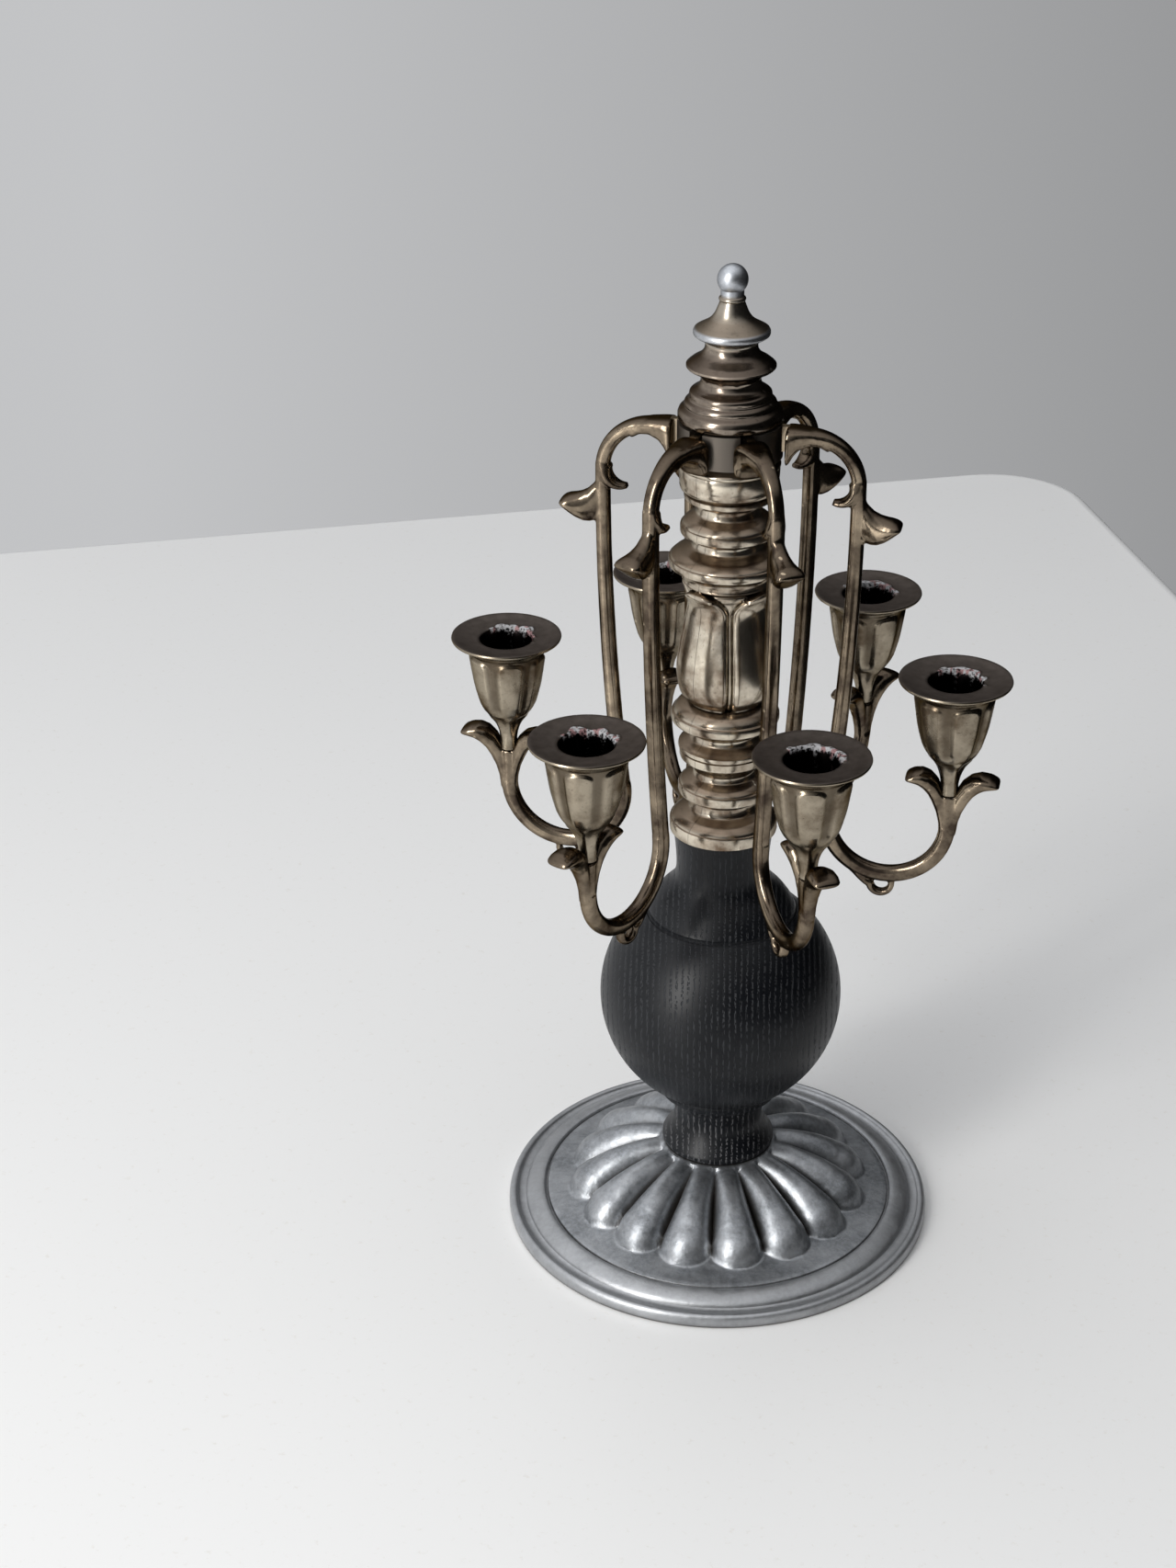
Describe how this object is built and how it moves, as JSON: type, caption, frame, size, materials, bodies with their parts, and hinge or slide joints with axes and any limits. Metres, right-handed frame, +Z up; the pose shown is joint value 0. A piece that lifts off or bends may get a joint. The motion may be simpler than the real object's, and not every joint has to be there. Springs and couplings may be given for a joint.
{
  "type": "candelabrum",
  "caption": "Table candelabrum: a ring of hooked swinging arms with candle cups round a turned column under a finial, on a ball-shaped wooden stem and a lobed round base.",
  "frame": {"origin": "centre of the base's flat underside, on the surface that it stands on", "axes": "+Z up the column; +X along the first arm's keyhole"},
  "size_m": [0.134, 0.1234, 0.2495],
  "materials": {
    "zinc": "satin, mottled grey",
    "ebonised_wood": "matt black stain over open grain",
    "antique_silver": "worn silver plate with brown tarnish",
    "bright_silver": "worn bright",
    "plain_steel": "plain zinc plated"
  },
  "bodies": {
    "stand": {"base_plate": "zinc", "tie_rod": "plain_steel", "rod_nut": "plain_steel", "rod_washer": "plain_steel", "wood_stem": "ebonised_wood", "column_left_half": "antique_silver", "column_right_half": "antique_silver", "arm_hub": "antique_silver"},
    "cap": {"cap": "antique_silver"},
    "finial": {"finial": "bright_silver"},
    "arm_1": {"arm_1": "antique_silver", "candle_cup_1": "antique_silver"},
    "arm_2": {"arm_2": "antique_silver", "candle_cup_2": "antique_silver"},
    "arm_3": {"arm_3": "antique_silver", "candle_cup_3": "antique_silver"},
    "arm_4": {"arm_4": "antique_silver", "candle_cup_4": "antique_silver"},
    "arm_5": {"arm_5": "antique_silver", "candle_cup_5": "antique_silver"},
    "arm_6": {"arm_6": "antique_silver", "candle_cup_6": "antique_silver"}
  },
  "joints": [
    {"name": "cap_lift", "type": "slide", "parent": "stand", "child": "cap", "axis": [0, 0, 1], "range_m": [0, 0.0056]},
    {"name": "finial_turn", "type": "hinge", "parent": "cap", "child": "finial", "pos_m": [0, 0, 0.2317], "axis": [0, 0, 1], "range_deg": [0, 2520]},
    {"name": "arm_1_swing", "type": "hinge", "parent": "stand", "child": "arm_1", "pos_m": [0.008, 0, 0.21], "axis": [0, 0, 1], "range_deg": [-8, 8]},
    {"name": "arm_2_swing", "type": "hinge", "parent": "stand", "child": "arm_2", "pos_m": [0.004, 0.00693, 0.21], "axis": [0, 0, 1], "range_deg": [-7.3, 8.7]},
    {"name": "arm_3_swing", "type": "hinge", "parent": "stand", "child": "arm_3", "pos_m": [-0.004, 0.00693, 0.21], "axis": [0, 0, 1], "range_deg": [-4.1, 11.9]},
    {"name": "arm_4_swing", "type": "hinge", "parent": "stand", "child": "arm_4", "pos_m": [-0.008, 0, 0.21], "axis": [0, 0, 1], "range_deg": [-5.4, 10.6]},
    {"name": "arm_5_swing", "type": "hinge", "parent": "stand", "child": "arm_5", "pos_m": [-0.004, -0.00693, 0.21], "axis": [0, 0, 1], "range_deg": [-14.3, 1.7]},
    {"name": "arm_6_swing", "type": "hinge", "parent": "stand", "child": "arm_6", "pos_m": [0.004, -0.00693, 0.21], "axis": [0, 0, 1], "range_deg": [-8.7, 7.3]}
  ],
  "couplings": [
    {"joint": "finial_turn", "follows": "cap_lift", "rad_per_m": 7854}
  ]
}
